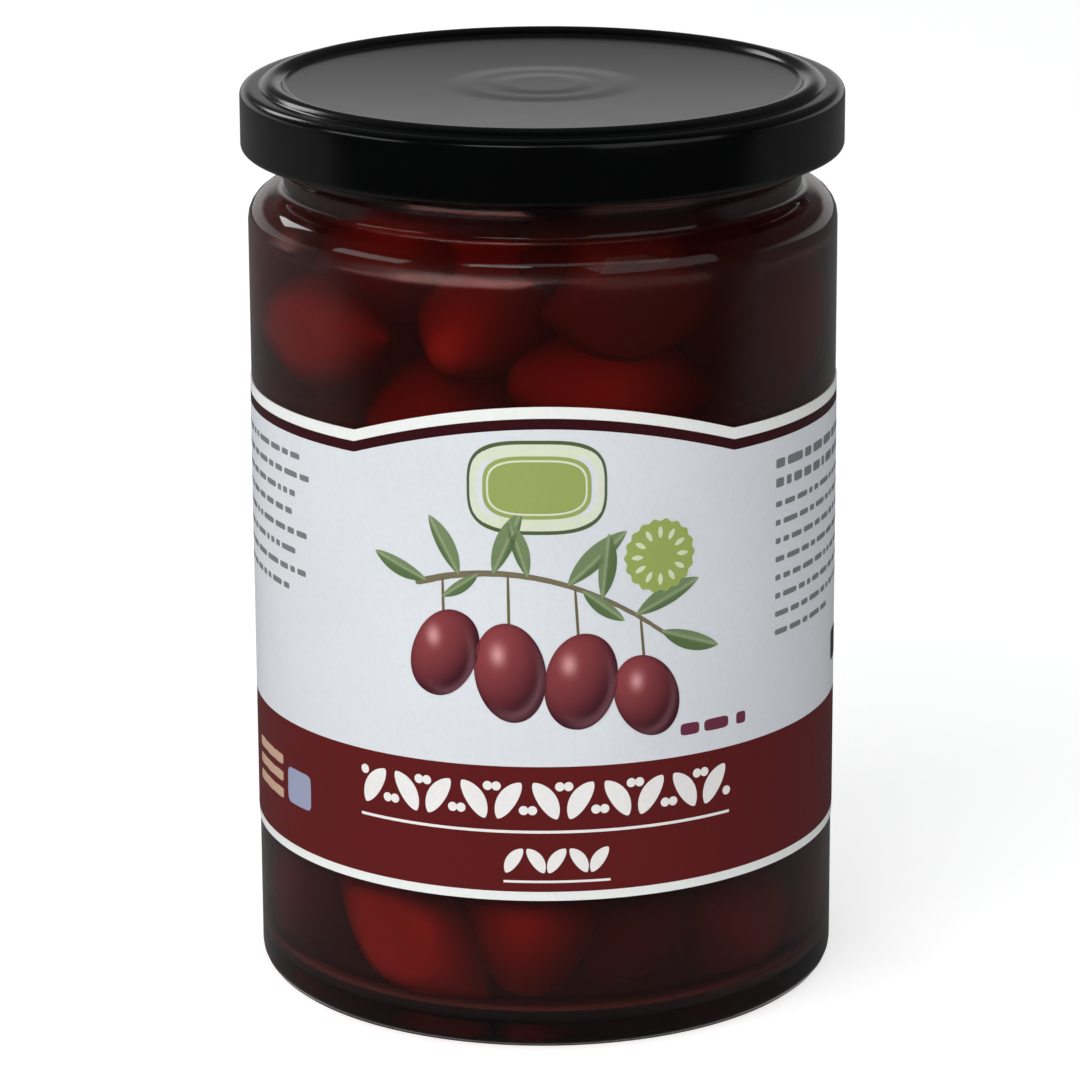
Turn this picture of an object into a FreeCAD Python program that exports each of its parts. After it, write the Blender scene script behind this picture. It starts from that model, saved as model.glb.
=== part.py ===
import FreeCAD, Part
import math
import os
import Sketcher

from FreeCAD import Vector


# A glass jar of whole olives in brine, shut with a pressed steel twist-off lid and dressed
# with a paper label. Millimetres, +Z up, the table is z = 0, the jar's axis is the Z axis
# and the middle of the label faces -Y.

DRIVING_DIMENSIONS = [
    # glass jar
    ("jar_diameter", 72.5, "outside diameter of the straight wall"),
    ("rim_height", 112.3, "from the table to the sealing rim"),
    ("wall", 2.4, "thickness of the straight wall"),
    ("floor_height", 4.0, "from the table to the glass floor inside"),
    ("heel_radius", 2.5, "rounding between wall and underside"),
    ("floor_radius", 3.5, "rounding inside between wall and floor"),
    ("standing_ring", 3.0, "width of the flat ring that the jar stands on"),
    ("push_up", 1.6, "height of the hollow under the jar"),
    ("push_up_slope", 3.5, "width of the slope from the ring up to that hollow"),
    ("shoulder_drop", 12.6, "from the rim down to the top of the shoulder"),
    ("shoulder_radius", 3.5, "rounding of the shoulder outside"),
    ("shoulder_wall", 2.2, "thickness of the shoulder's top"),
    ("inner_shoulder_radius", 3.2, "rounding of the shoulder inside"),
    ("neck_setback", 4.35, "from the wall in to the neck groove"),
    ("neck_fillet", 0.8, "hollow rounding where shoulder meets neck"),
    ("finish_drop", 9.9, "from the rim down to the foot of the threaded finish"),
    ("finish_step", 1.1, "from the neck groove out to the finish"),
    ("finish_wall", 3.1, "thickness of the finish, from the mouth outwards"),
    ("rim_radius", 0.8, "rounding of the rim's two edges"),
    ("thread_depth", 1.5, "how far a thread ridge stands out"),
    ("thread_width", 2.0, "height of a thread ridge at its root"),
    ("thread_underside", 0.4, "height of the slope under a ridge's crest"),
    ("thread_crest", 0.8, "height of a ridge's crest"),
    ("thread_drop", 5.4, "from the rim down to the underside of the ridges"),
    ("thread_sweep", 62.0, "degrees that one ridge runs round the finish"),
    ("thread_starts", 4, "number of ridges, and of lugs that hook under them"),
    # lid
    ("skirt_standoff", 4.0, "from the finish out to the outside of the lid's skirt"),
    ("lid_sheet", 0.4, "thickness of the pressed sheet"),
    ("skirt_height", 7.8, "from the lid's panel down to the underside of the hem"),
    ("hem_radius", 0.8, "radius of the curled hem"),
    ("edge_radius", 1.1, "rounding between the skirt and the top"),
    ("bead_rise", 0.8, "how far the sealing bead stands above the panel"),
    ("bead_width", 3.0, "width of the sealing bead"),
    ("bead_setback", 2.4, "from the skirt in to the bead"),
    ("button_radius", 10.2, "outer ring of the safety button"),
    ("button_inner_radius", 5.6, "inner ring of the safety button"),
    ("button_slope", 0.8, "width of each of the button's steps"),
    ("button_rise", 0.3, "height of each of the button's steps"),
    ("lug_sweep", 16.0, "degrees that one lug takes up in the hem"),
    ("lug_height", 1.3, "height of a lug"),
    ("running_clearance", 0.3, "air between lugs, threads and finish"),
    # label
    ("paper", 0.12, "thickness of the label with its glue"),
    ("label_bottom", 19.6, "lower edge of the label"),
    ("label_top_margin", 19.9, "from the straight wall's end down to the label's sides"),
    ("label_arch_rise", 4.7, "how far the label's arch stands above its sides"),
    ("label_arch_half_width", 22.6, "from the middle of the arch to the notch beside it"),
    ("label_gap", 26.0, "degrees of bare glass between the label's ends"),
    # contents
    ("headspace", 6.0, "from the rim down to the brine"),
    ("contents_clearance", 0.05, "air kept between glass and contents"),
    ("olive_diameter", 15.0, "girth diameter of one olive"),
    ("olive_row_pitch", 16.1, "from one row of olives up to the next"),
    ("olive_hollow", 3.0, "depth of the hollows between neighbouring olives"),
    ("olive_drift", 0.3, "share by which those hollows vary round the heap"),
    ("olive_film", 0.7, "brine between the glass and the olives that lean on it"),
    ("olive_cover", 4.5, "brine above the topmost olives"),
]

document = FreeCAD.newDocument("olive_jar")
sheet = document.addObject("Spreadsheet::Sheet", "Sizes")
for row, (alias, value, meaning) in enumerate(DRIVING_DIMENSIONS, start=1):
    sheet.set(f"A{row}", meaning)
    sheet.set(f"B{row}", str(value))
    sheet.setAlias(f"B{row}", alias)
document.recompute()


def formula(text):
    """A formula in the sheet's names, each written with a leading @, as FreeCAD reads it."""
    return text.replace("@", "Sizes.")


def worth(text):
    """The number that such a formula gives now."""
    return float(sheet.evalExpression(formula(text)))


def new_body(name):
    body = document.addObject("PartDesign::Body", name)
    body.Label = name
    body.Placement = FreeCAD.Placement()
    return body


def origin_plane(body, role):
    return next(feature for feature in body.Origin.OriginFeatures if feature.Role == role)


def arc_between(start, end, radius):
    """The short arc between two points: anticlockwise, or clockwise where the radius is
    negative. Its geometry always runs anticlockwise, as a sketch keeps it."""
    chord = end.sub(start)
    half = chord.Length / 2
    size = max(abs(radius), half)
    height = math.copysign(math.sqrt(size ** 2 - half ** 2), radius)
    left = Vector(-chord.y, chord.x, 0).normalize()
    centre = start.add(end).multiply(0.5).add(left.multiply(height))
    first, last = (start, end) if radius > 0 else (end, start)
    first_angle = math.atan2(first.y - centre.y, first.x - centre.x)
    last_angle = math.atan2(last.y - centre.y, last.x - centre.x)
    if last_angle < first_angle:
        last_angle += 2 * math.pi
    circle = Part.Circle(centre, Vector(0, 0, 1), size)
    return Part.ArcOfCircle(circle, first_angle, last_angle)


def outline(body, name, role, corners):
    """A closed outline on one of the body's own planes. Each corner is a pair of formulas,
    and a third formula is the radius of an arc from that corner to the next."""
    sketch = body.newObject("Sketcher::SketchObject", name)
    sketch.AttachmentSupport = [(origin_plane(body, role), "")]
    sketch.MapMode = "FlatFace"
    points = [Vector(worth(corner[0]), worth(corner[1]), 0) for corner in corners]
    ends = []
    for index, corner in enumerate(corners):
        start = points[index]
        end = points[(index + 1) % len(points)]
        if len(corner) == 3:
            radius = worth(corner[2])
            sketch.addGeometry(arc_between(start, end, radius), False)
            ends.append((1, 2) if radius > 0 else (2, 1))
        else:
            sketch.addGeometry(Part.LineSegment(start, end), False)
            ends.append((1, 2))
    for index, corner in enumerate(corners):
        following = (index + 1) % len(corners)
        sketch.addConstraint(Sketcher.Constraint("Coincident", index, ends[index][1],
                                                 following, ends[following][0]))
        for kind, text in (("DistanceX", corner[0]), ("DistanceY", corner[1])):
            number = sketch.addConstraint(Sketcher.Constraint(kind, -1, 1, index,
                                                              ends[index][0], worth(text)))
            sketch.setExpression(f"Constraints[{number}]", formula(text))
        if len(corner) == 3:
            radius = "abs(" + corner[2] + ")"
            number = sketch.addConstraint(Sketcher.Constraint("Radius", index, worth(radius)))
            sketch.setExpression(f"Constraints[{number}]", formula(radius))
    document.recompute()
    return sketch


def turned(body, kind, name, sketch, sweep=None, midplane=False):
    """Turns an outline about the Z axis, all the way or through a sweep in degrees."""
    feature = body.newObject(kind, name)
    feature.Profile = sketch
    feature.ReferenceAxis = (sketch, ["V_Axis"])
    feature.Angle = 360
    if sweep is not None:
        feature.setExpression("Angle", formula(sweep))
    feature.Midplane = midplane
    document.recompute()
    return feature


def repeated(body, name, feature, count):
    """Repeats a feature evenly about the Z axis and makes the pattern the body's tip."""
    pattern = body.newObject("PartDesign::PolarPattern", name)
    pattern.Originals = [feature]
    pattern.Axis = (origin_plane(body, "Z_Axis"), [""])
    pattern.Angle = 360
    pattern.setExpression("Occurrences", formula(count))
    body.Tip = pattern
    document.recompute()
    return pattern


def checked_cut(body, feature, volume_before):
    """A groove or pocket has to take something away."""
    if feature.Shape.Volume >= volume_before - 1e-3:
        raise RuntimeError(f"{body.Label}: {feature.Label} cut nothing")


# Radii and heights that several pieces share.
WALL_RADIUS = "(@jar_diameter / 2)"
INNER_RADIUS = "(@jar_diameter / 2 - @wall)"
SHOULDER = "(@rim_height - @shoulder_drop)"
INNER_SHOULDER = "(@rim_height - @shoulder_drop - @shoulder_wall)"
NECK_RADIUS = "(@jar_diameter / 2 - @neck_setback)"
FINISH_RADIUS = "(@jar_diameter / 2 - @neck_setback + @finish_step)"
MOUTH_RADIUS = "(@jar_diameter / 2 - @neck_setback + @finish_step - @finish_wall)"
THREAD_BOTTOM = "(@rim_height - @thread_drop)"
LID_RADIUS = f"({FINISH_RADIUS} + @skirt_standoff)"
PANEL = "(@rim_height + @lid_sheet)"
BRINE_LEVEL = "(@rim_height - @headspace)"


def make_jar():
    """Pressed glass jar: one turned solid, four thread ridges, then the hollow inside."""
    body = new_body("jar")
    outside = outline(body, "jar_outside", "XZ_Plane", [
        ("0", "@push_up"),
        (f"{WALL_RADIUS} - @heel_radius - @standing_ring - @push_up_slope", "@push_up"),
        (f"{WALL_RADIUS} - @heel_radius - @standing_ring", "0"),
        (f"{WALL_RADIUS} - @heel_radius", "0", "@heel_radius"),
        (WALL_RADIUS, "@heel_radius"),
        (WALL_RADIUS, f"{SHOULDER} - @shoulder_radius", "@shoulder_radius"),
        (f"{WALL_RADIUS} - @shoulder_radius", SHOULDER),
        (f"{NECK_RADIUS} + @neck_fillet", SHOULDER, "-@neck_fillet"),
        (NECK_RADIUS, f"{SHOULDER} + @neck_fillet"),
        (NECK_RADIUS, "@rim_height - @finish_drop"),
        (FINISH_RADIUS, "@rim_height - @finish_drop + @finish_step"),
        (FINISH_RADIUS, "@rim_height - @rim_radius", "@rim_radius"),
        (f"{FINISH_RADIUS} - @rim_radius", "@rim_height"),
        ("0", "@rim_height"),
    ])
    turned(body, "PartDesign::Revolution", "jar_solid", outside)

    ridge = outline(body, "thread_ridge", "XZ_Plane", [
        (f"{FINISH_RADIUS} - @rim_radius", THREAD_BOTTOM),
        (f"{FINISH_RADIUS} + @thread_depth", f"{THREAD_BOTTOM} + @thread_underside"),
        (f"{FINISH_RADIUS} + @thread_depth",
         f"{THREAD_BOTTOM} + @thread_underside + @thread_crest"),
        (f"{FINISH_RADIUS} - @rim_radius", f"{THREAD_BOTTOM} + @thread_width"),
    ])
    thread = turned(body, "PartDesign::Revolution", "thread", ridge, "@thread_sweep", True)
    solid = repeated(body, "threads", thread, "@thread_starts")

    inside = outline(body, "jar_inside", "XZ_Plane", [
        ("0", "@floor_height"),
        (f"{INNER_RADIUS} - @floor_radius", "@floor_height", "@floor_radius"),
        (INNER_RADIUS, "@floor_height + @floor_radius"),
        (INNER_RADIUS, f"{INNER_SHOULDER} - @inner_shoulder_radius", "@inner_shoulder_radius"),
        (f"{INNER_RADIUS} - @inner_shoulder_radius", INNER_SHOULDER),
        (MOUTH_RADIUS, f"{INNER_SHOULDER} + @neck_fillet"),
        (MOUTH_RADIUS, "@rim_height - @rim_radius", "-@rim_radius"),
        (f"{MOUTH_RADIUS} + @rim_radius", "@rim_height"),
        (f"{MOUTH_RADIUS} + @rim_radius", "@rim_height + @wall"),
        ("0", "@rim_height + @wall"),
    ])
    hollow = turned(body, "PartDesign::Groove", "hollow", inside)
    checked_cut(body, hollow, solid.Shape.Volume)
    return body


def make_lid():
    """Pressed steel lid: a stepped panel with a safety button, a raised sealing bead, a
    skirt with a curled hem, and lugs pressed inwards from the hem."""
    body = new_body("lid")
    bead_outer = f"({LID_RADIUS} - @bead_setback)"
    bead_inner = f"({LID_RADIUS} - @bead_setback - @bead_width)"
    bead_arc = "(pow(@bead_width / 2, 2) + pow(@bead_rise, 2)) / (2 * @bead_rise)"
    under_arc = ("(pow(@bead_width / 2 - @lid_sheet, 2) + pow(@bead_rise, 2))"
                 " / (2 * @bead_rise)")
    hem_bottom = f"({PANEL} - @skirt_height)"
    hem_middle = f"({hem_bottom} + @hem_radius)"
    skirt_inside = f"({LID_RADIUS} - @lid_sheet)"
    sheet_outline = outline(body, "lid_sheet_outline", "XZ_Plane", [
        # down the underside from the axis, and in along the skirt's inner face
        ("0", f"{PANEL} + 2 * @button_rise - @lid_sheet"),
        ("0", f"{PANEL} + 2 * @button_rise"),
        ("@button_inner_radius", f"{PANEL} + 2 * @button_rise"),
        ("@button_inner_radius + @button_slope", f"{PANEL} + @button_rise"),
        ("@button_radius - @button_slope", f"{PANEL} + @button_rise"),
        ("@button_radius", PANEL),
        (bead_inner, PANEL, f"-({bead_arc})"),
        (bead_outer, PANEL),
        (f"{LID_RADIUS} - @edge_radius", PANEL, "-@edge_radius"),
        (LID_RADIUS, f"{PANEL} - @edge_radius"),
        (LID_RADIUS, hem_middle, "-@hem_radius"),
        (f"{LID_RADIUS} - @hem_radius", hem_bottom, "-@hem_radius"),
        (f"{LID_RADIUS} - 2 * @hem_radius", hem_middle),
        (f"{LID_RADIUS} - 2 * @hem_radius", f"{hem_middle} + @lid_sheet"),
        (skirt_inside, f"{hem_middle} + @hem_radius + @lid_sheet"),
        (skirt_inside, f"{PANEL} - @edge_radius", "@edge_radius - @lid_sheet"),
        (f"{LID_RADIUS} - @edge_radius", f"{PANEL} - @lid_sheet"),
        (f"{bead_outer} - @lid_sheet", f"{PANEL} - @lid_sheet", under_arc),
        (f"{bead_inner} + @lid_sheet", f"{PANEL} - @lid_sheet"),
        ("@button_radius - @lid_sheet", f"{PANEL} - @lid_sheet"),
        ("@button_radius - @button_slope - @lid_sheet", f"{PANEL} + @button_rise - @lid_sheet"),
        ("@button_inner_radius + @button_slope - @lid_sheet",
         f"{PANEL} + @button_rise - @lid_sheet"),
        ("@button_inner_radius - @lid_sheet", f"{PANEL} + 2 * @button_rise - @lid_sheet"),
    ])
    turned(body, "PartDesign::Revolution", "pressed_sheet", sheet_outline)

    lug_top = f"({THREAD_BOTTOM} - @running_clearance)"
    lug_outline = outline(body, "lug_outline", "XZ_Plane", [
        (f"{FINISH_RADIUS} + @running_clearance", f"{lug_top} - @lug_height"),
        (f"{LID_RADIUS} - @hem_radius", f"{lug_top} - @lug_height"),
        (f"{LID_RADIUS} - @hem_radius", lug_top),
        (f"{FINISH_RADIUS} + @running_clearance", lug_top),
    ])
    lug = turned(body, "PartDesign::Revolution", "lug", lug_outline, "@lug_sweep", True)
    repeated(body, "lugs", lug, "@thread_starts")
    return body


def make_label():
    """Paper label glued round the wall. Its upper edge is level, with a low arch in front."""
    body = new_body("label")
    side_top = f"({SHOULDER} - @shoulder_radius - @label_top_margin)"
    arch_top = f"({side_top} + @label_arch_rise)"
    strip = outline(body, "label_strip", "YZ_Plane", [
        (f"-({WALL_RADIUS} + @paper)", "@label_bottom"),
        (f"-{WALL_RADIUS}", "@label_bottom"),
        (f"-{WALL_RADIUS}", arch_top),
        (f"-({WALL_RADIUS} + @paper)", arch_top),
    ])
    wrapped = turned(body, "PartDesign::Revolution", "wrapped_strip", strip,
                     "360 - @label_gap", True)
    clear_of_jar = "@jar_diameter"
    above = f"{arch_top} + @wall"
    arch_radius = ("(pow(@label_arch_half_width, 2) + pow(@label_arch_rise, 2))"
                   " / (2 * @label_arch_rise)")
    front_waste = outline(body, "front_waste", "XZ_Plane", [
        (f"-{clear_of_jar}", side_top),
        ("-@label_arch_half_width", side_top, f"-({arch_radius})"),
        ("@label_arch_half_width", side_top),
        (clear_of_jar, side_top),
        (clear_of_jar, above),
        (f"-{clear_of_jar}", above),
    ])
    back_waste = outline(body, "back_waste", "XZ_Plane", [
        (f"-{clear_of_jar}", side_top),
        (clear_of_jar, side_top),
        (clear_of_jar, above),
        (f"-{clear_of_jar}", above),
    ])
    left = wrapped.Shape.Volume
    for name, waste, towards_front in (("front_edge", front_waste, True),
                                       ("back_edge", back_waste, False)):
        pocket = body.newObject("PartDesign::Pocket", name)
        pocket.Profile = waste
        pocket.Type = "Length"
        pocket.setExpression("Length", formula(clear_of_jar))
        pocket.Reversed = towards_front
        document.recompute()
        checked_cut(body, pocket, left)
        left = pocket.Shape.Volume
    return body


def heap_points(around, along):
    """The olives' cobbled outline. A rounded cylinder is carried round the axis, and each
    point sinks along its normal where two waves, round the jar and along the profile,
    leave a hollow between olives, so that neighbouring rows are staggered."""
    reach = worth(f"{INNER_RADIUS} - @olive_film")
    low = worth("@floor_height + @olive_film")
    high = worth(f"{BRINE_LEVEL} - @olive_cover")
    low_corner = worth("@olive_diameter / 2")
    high_corner = worth(f"{INNER_RADIUS} - {MOUTH_RADIUS}") + low_corner
    hollow = worth("@olive_hollow")
    uneven = worth("@olive_drift")
    in_a_ring = round(2 * math.pi * (reach - low_corner) / worth("@olive_diameter"))
    waves_round = max(in_a_ring // 2, 2)
    legs = [reach - low_corner, low_corner * math.pi / 2, high - low - low_corner - high_corner,
            high_corner * math.pi / 2, reach - high_corner]
    length = sum(legs)
    waves_along = round(length / worth("2 * @olive_row_pitch"))

    def profile(distance):
        """Point and outward normal at a distance along the half outline from the bottom."""
        for leg, size in enumerate(legs):
            if distance <= size or leg == len(legs) - 1:
                break
            distance -= size
        if leg == 0:
            return distance, low, 0.0, -1.0
        if leg == 1:
            turn = distance / low_corner
            return (reach - low_corner + low_corner * math.sin(turn),
                    low + low_corner - low_corner * math.cos(turn),
                    math.sin(turn), -math.cos(turn))
        if leg == 2:
            return reach, low + low_corner + distance, 1.0, 0.0
        if leg == 3:
            turn = distance / high_corner
            return (reach - high_corner + high_corner * math.cos(turn),
                    high - high_corner + high_corner * math.sin(turn),
                    math.cos(turn), math.sin(turn))
        return max(reach - high_corner - distance, 0.0), high, 0.0, 1.0

    points = [Vector(0, 0, low)]
    for ring in range(1, along):
        share = ring / along
        radius, height, out, up = profile(share * length)
        for step in range(around):
            angle = 2 * math.pi * step / around
            wave = math.cos(waves_round * angle) * math.cos(2 * math.pi * waves_along * share)
            drift = uneven * math.sin(3 * angle + 2) * math.sin(5 * math.pi * share)
            near_axis = min(radius / low_corner, 1.0)
            sink = hollow * near_axis * min(max((1 - wave) / 2 + drift, 0.0), 1.0)
            points.append(Vector((radius - out * sink) * math.cos(angle),
                                 (radius - out * sink) * math.sin(angle),
                                 height - up * sink))
    points.append(Vector(0, 0, high))
    return points


def make_olives():
    """The packed olives as one closed solid with a cobbled outline of flat facets."""
    around = 60
    along = 28
    points = heap_points(around, along)
    last = len(points) - 1
    facets = []
    for step in range(around):
        beside = (step + 1) % around
        facets.append((0, 1 + beside, 1 + step))
        top = 1 + (along - 2) * around
        facets.append((last, top + step, top + beside))
        for ring in range(along - 2):
            here = 1 + ring * around
            above = here + around
            facets.append((here + step, here + beside, above + beside))
            facets.append((here + step, above + beside, above + step))
    shell = Part.Shape()
    shell.makeShapeFromMesh((points, facets), 1e-4)
    solid = Part.makeSolid(shell)
    if solid.Volume < 0:
        solid.reverse()
    feature = document.addObject("Part::Feature", "olives")
    feature.Label = "olives"
    feature.Shape = solid
    feature.Placement = FreeCAD.Placement()
    return feature


def make_brine(olives):
    """Brine up to its level, cut round the olives."""
    body = new_body("brine_before_olives")
    gap = "@contents_clearance"
    reach = f"({INNER_RADIUS} - {gap})"
    fill = outline(body, "brine_outline", "XZ_Plane", [
        ("0", f"@floor_height + {gap}"),
        (f"{INNER_RADIUS} - @floor_radius", f"@floor_height + {gap}", f"@floor_radius - {gap}"),
        (reach, "@floor_height + @floor_radius"),
        (reach, f"{INNER_SHOULDER} - @inner_shoulder_radius",
         f"@inner_shoulder_radius - {gap}"),
        (f"{INNER_RADIUS} - @inner_shoulder_radius", f"{INNER_SHOULDER} - {gap}"),
        (f"{MOUTH_RADIUS} - {gap}", f"{INNER_SHOULDER} + @neck_fillet - {gap}"),
        (f"{MOUTH_RADIUS} - {gap}", BRINE_LEVEL),
        ("0", BRINE_LEVEL),
    ])
    turned(body, "PartDesign::Revolution", "brine_fill", fill)
    brine = document.addObject("Part::Cut", "brine")
    brine.Label = "brine"
    brine.Base = body
    brine.Tool = olives
    brine.Placement = FreeCAD.Placement()
    document.recompute()
    return brine


jar = make_jar()
lid = make_lid()
label = make_label()
olives = make_olives()
brine = make_brine(olives)
document.recompute()

for thing in document.Objects:
    if "Invalid" in thing.State or "Error" in thing.State:
        raise RuntimeError(f"{thing.Label} is in state {thing.State}")
for piece in (jar, lid, label, olives, brine):
    if piece.Shape.isNull() or not piece.Shape.isValid():
        raise RuntimeError(f"{piece.Label} has no valid shape")
    if len(piece.Shape.Solids) != 1:
        raise RuntimeError(f"{piece.Label} is not one solid")

os.makedirs("parts", exist_ok=True)
for piece in (jar, lid, label, olives, brine):
    piece.Shape.exportStep(f"parts/{piece.Label}.step")
    print(piece.Label, "volume", round(piece.Shape.Volume / 1000, 2), "cm3, box",
          [round(limit, 2) for limit in (piece.Shape.BoundBox.XMin, piece.Shape.BoundBox.XMax,
                                         piece.Shape.BoundBox.ZMin, piece.Shape.BoundBox.ZMax)])
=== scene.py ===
import math

import bpy
import numpy as np
from mathutils import Matrix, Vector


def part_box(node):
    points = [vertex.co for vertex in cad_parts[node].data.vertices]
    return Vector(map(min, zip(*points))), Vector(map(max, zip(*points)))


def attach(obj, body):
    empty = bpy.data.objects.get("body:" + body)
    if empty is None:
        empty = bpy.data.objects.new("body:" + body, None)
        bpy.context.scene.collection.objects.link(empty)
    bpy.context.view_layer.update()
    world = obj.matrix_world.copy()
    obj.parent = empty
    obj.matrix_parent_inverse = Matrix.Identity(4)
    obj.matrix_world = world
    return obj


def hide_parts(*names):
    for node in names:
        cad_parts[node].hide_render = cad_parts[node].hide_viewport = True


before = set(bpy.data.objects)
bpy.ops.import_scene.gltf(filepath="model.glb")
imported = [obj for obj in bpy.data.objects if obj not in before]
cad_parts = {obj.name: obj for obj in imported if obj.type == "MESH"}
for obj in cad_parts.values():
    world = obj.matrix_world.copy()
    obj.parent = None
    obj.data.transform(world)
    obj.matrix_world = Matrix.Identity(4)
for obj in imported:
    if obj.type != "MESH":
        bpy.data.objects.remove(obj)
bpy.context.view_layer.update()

mm = 0.001

# ---- The glass jar ------------------------------------------------------------------
# A pressed and blown flint-glass jar: straight body, tight shoulder, short neck, and a
# finish with four thread ridges. It stands on a ring round a pushed-up bottom.
jar_low, jar_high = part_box("jar")
body_radius = (jar_high[0] - jar_low[0]) / 2
rim_height = jar_high[2]
wall = 2.4 * mm
floor_height = 4.0 * mm
shoulder_top = rim_height - 12.6 * mm
inner_radius = body_radius - wall
finish_radius = 33.0 * mm
throat_radius = 29.9 * mm
ridge_depth = 1.5 * mm
ridge_middle = 107.9 * mm
ridge_width = 2.0 * mm
ridge_flank = 0.6 * mm
ridge_sweep = math.radians(62)
ridge_run_out = 0.06
inside_wave = 0.05 * mm
inside_wave_low, inside_wave_high = 9 * mm, 92 * mm
wave_fade = 12 * mm
jar_segments = 288


def unit(arrows):
    """The same arrows, each brought to length one."""
    return arrows / np.linalg.norm(arrows, axis=-1, keepdims=True)


def rounded(corners, radii, steps=7):
    """Each corner becomes an arc that touches both its sides. Its centre lies on the
    bisector, and its points are the two end spokes mixed by sines of the turned angle."""
    corners = np.array(corners, float)
    here = corners[1:-1]
    back = unit(corners[:-2] - here)
    ahead = unit(corners[2:] - here)
    half = np.arccos(np.clip((back * ahead).sum(1, keepdims=True), -1, 1)) / 2
    radius = np.array(radii, float)[:, None]
    centre = here + unit(back + ahead) * radius / np.sin(half)
    first = here + back * radius / np.tan(half) - centre
    last = here + ahead * radius / np.tan(half) - centre
    turn = (math.pi - 2 * half)[:, None]
    part = np.linspace(0, 1, steps)[None, :, None]
    spokes = np.sin((1 - part) * turn) * first[:, None] + np.sin(part * turn) * last[:, None]
    arcs = (centre[:, None] + spokes / np.sin(turn)).reshape(-1, 2)
    line = np.concatenate([corners[:1], arcs, corners[-1:]])
    step = np.linalg.norm(np.diff(line, axis=0), axis=1)
    return line[np.concatenate([[True], step > 1e-7])]


def finely_spaced(line, step):
    """The same line with more points: its own corners, and a point at each step of length
    along it, so that no stretch is longer than the step."""
    run = np.concatenate([[0], np.cumsum(np.linalg.norm(np.diff(line, axis=0), axis=1))])
    marks = np.union1d(run, np.arange(0, run[-1], step))
    marks = marks[np.concatenate([[True], np.diff(marks) > step * 0.02])]
    marks[-1] = run[-1]
    return np.stack([np.interp(marks, run, line[:, 0]), np.interp(marks, run, line[:, 1])], 1)


def smooth_piece(name, points, faces, sharp):
    """A new piece, shaded smooth but for edges that turn by more than sharp degrees."""
    mesh = bpy.data.meshes.new(name)
    mesh.from_pydata(points.reshape(-1, 3).tolist(), [], faces)
    mesh.shade_smooth()
    mesh.set_sharp_from_angle(angle=math.radians(sharp))
    piece = bpy.data.objects.new(name, mesh)
    bpy.context.scene.collection.objects.link(piece)
    return piece


def skinned(name, rings, sharp=40):
    """Closed skins from points [piece, ring, step round, xyz]. The first and last ring of
    a piece are its poles, one point each; quads join the rings and triangles the poles."""
    count, ring_count, around, _ = rings.shape
    inner = rings[:, 1:-1].reshape(count, -1, 3)
    points = np.concatenate([rings[:, 0, :1], inner, rings[:, -1, :1]], axis=1)
    row = 1 + np.arange((ring_count - 2) * around).reshape(ring_count - 2, around)
    beside = np.roll(row, -1, axis=1)
    quads = np.stack([row[:-1], beside[:-1], beside[1:], row[1:]], -1).reshape(-1, 4)
    first = np.zeros_like(row[0])
    last = first + points.shape[1] - 1
    caps = np.concatenate([np.stack([first, beside[0], row[0]], -1),
                           np.stack([row[-1], beside[-1], last], -1)])
    offset = (np.arange(count) * points.shape[1])[:, None, None]
    faces = (quads[None] + offset).reshape(-1, 4).tolist()
    faces += (caps[None] + offset).reshape(-1, 3).tolist()
    return smooth_piece(name, points, faces, sharp)


def turned(name, line, around, swell=None, sharp=40):
    """A profile turned about the upright axis: the point at radius r, turned by a from the
    front, stands at r sin a to the right and r cos a towards the front."""
    turn = np.arange(around)[None, :] * 2 * math.pi / around
    radius = np.repeat(line[:, :1], around, axis=1)
    height = np.repeat(line[:, 1:], around, axis=1)
    if swell:
        radius = radius + swell(turn, radius, height)
    rings = np.stack([radius * np.sin(turn), -radius * np.cos(turn), height], -1)
    return skinned(name, rings[None], sharp)


def glass_swell(turn, radius, height):
    """Four ridges a quarter turn apart stand out of the finish and fade at their ends, and
    the inside of the wall wanders by hundredths of a millimetre, as pressed glass does."""
    quarter = math.pi / 2
    off = np.abs((turn + quarter / 2) % quarter - quarter / 2)
    along = np.clip((ridge_sweep / 2 - off) / ridge_run_out, 0, 1)
    across = np.clip((ridge_width / 2 - np.abs(height - ridge_middle)) / ridge_flank, 0, 1)
    ridges = ridge_depth * along * across * (radius > finish_radius - 0.1 * mm)
    inside = np.abs(radius - inner_radius) < 0.01 * mm
    rise = np.clip((height - inside_wave_low) / wave_fade, 0, 1)
    fall = np.clip((inside_wave_high - height) / wave_fade, 0, 1)
    waves = np.sin(3 * turn + 60 * height) + 0.6 * np.sin(7 * turn - 190 * height + 1.3)
    return ridges + inside * rise * fall * waves * inside_wave


# from the middle of the bottom, up the outside, over the rim and down the inside
jar_corners = np.array([
    (0, 1.6), (27.25, 1.6), (30.75, 0), (36.25, 0), (36.25, 99.7), (31.9, 99.7), (31.9, 102.4),
    (33.0, 103.5), (33.0, 112.3), (29.9, 112.3), (29.9, 98.3), (30.65, 97.5), (33.85, 97.5),
    (33.85, 4.0), (0, 4.0)]) * mm
jar_radii = np.array([1.5, 0.6, 2.5, 3.5, 0.8, 0.3, 0.3, 0.8, 0.8, 0.6, 0.2, 3.2, 3.5]) * mm
jar_line = finely_spaced(rounded(jar_corners, jar_radii), 2.5 * mm)
jar = turned("jar_glass", jar_line, jar_segments, glass_swell)


def new_material(name):
    """An empty node material with its output node."""
    material = bpy.data.materials.new(name)
    material.use_nodes = True
    material.node_tree.nodes.clear()
    output = material.node_tree.nodes.new("ShaderNodeOutputMaterial")
    return material, material.node_tree.nodes, material.node_tree.links, output


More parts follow.
